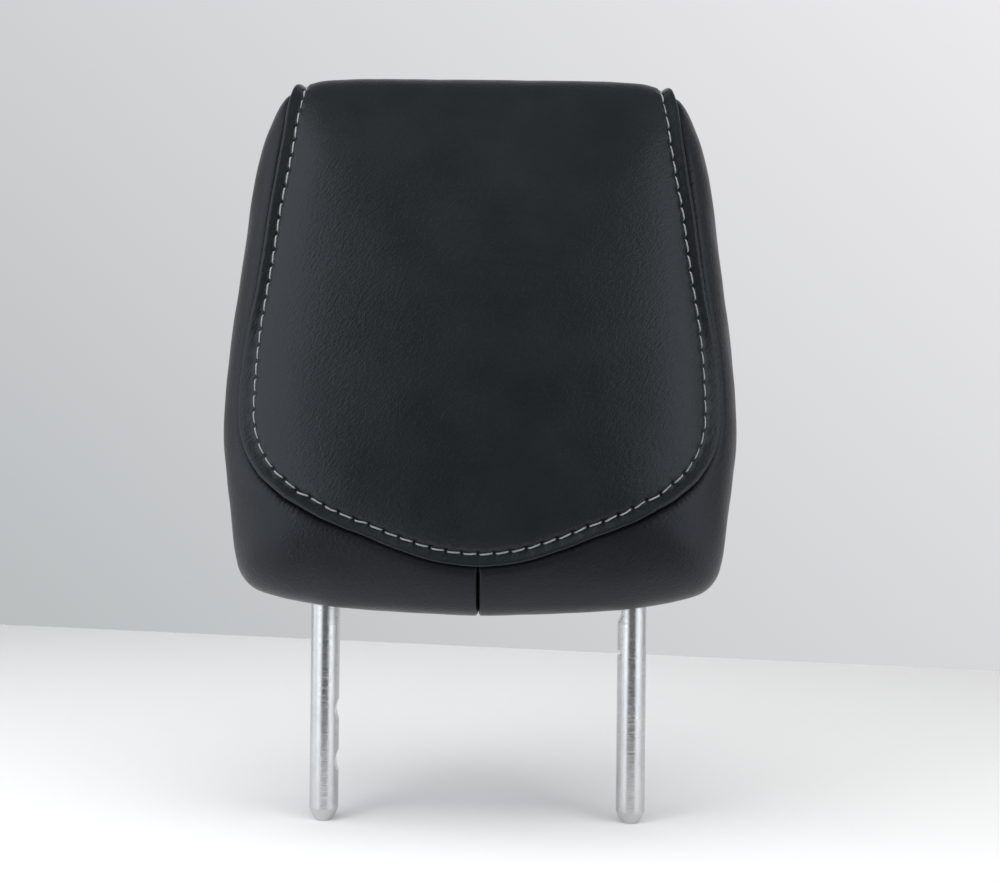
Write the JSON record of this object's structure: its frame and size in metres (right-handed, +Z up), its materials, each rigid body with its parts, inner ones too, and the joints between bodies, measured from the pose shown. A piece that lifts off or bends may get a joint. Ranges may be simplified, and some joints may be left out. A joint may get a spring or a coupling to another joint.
{
  "type": "car head restraint",
  "caption": "Padded car head restraint: stitched leather cover with a raised-seam front insert over a foam core, on a bent steel stay with notched round posts.",
  "frame": {"origin": "midway between the axes of the two posts, level with the lowest point of the cushion's base", "axes": "+Z up along the posts, -Y out of the face a head rests on, +X to the right of a viewer who looks at that face"},
  "size_m": [0.2434, 0.1048, 0.3535],
  "materials": {
    "cover_leather": "black fine-grained leather, soft sheen",
    "foam": "moulded polyurethane foam, pale, matt",
    "post_steel": "bright drawn steel tube, lightly scratched",
    "carrier_plastic": "black moulded polypropylene",
    "screw_steel": "zinc-plated steel"
  },
  "bodies": {
    "root": {"front_insert": "cover_leather", "side_panel_left": "cover_leather", "side_panel_right": "cover_leather", "rear_panel": "cover_leather", "comfort_pad": "foam", "foam_core": "foam", "stay": "post_steel", "carrier_front": "carrier_plastic", "carrier_rear": "carrier_plastic", "carrier_screw_1": "screw_steel", "carrier_screw_2": "screw_steel", "carrier_screw_3": "screw_steel", "carrier_screw_4": "screw_steel", "carrier_screw_5": "screw_steel", "carrier_screw_6": "screw_steel", "post_bush_left": "carrier_plastic", "post_bush_right": "carrier_plastic", "closure_strip_front": "carrier_plastic", "closure_strip_rear": "carrier_plastic"}
  },
  "joints": []
}
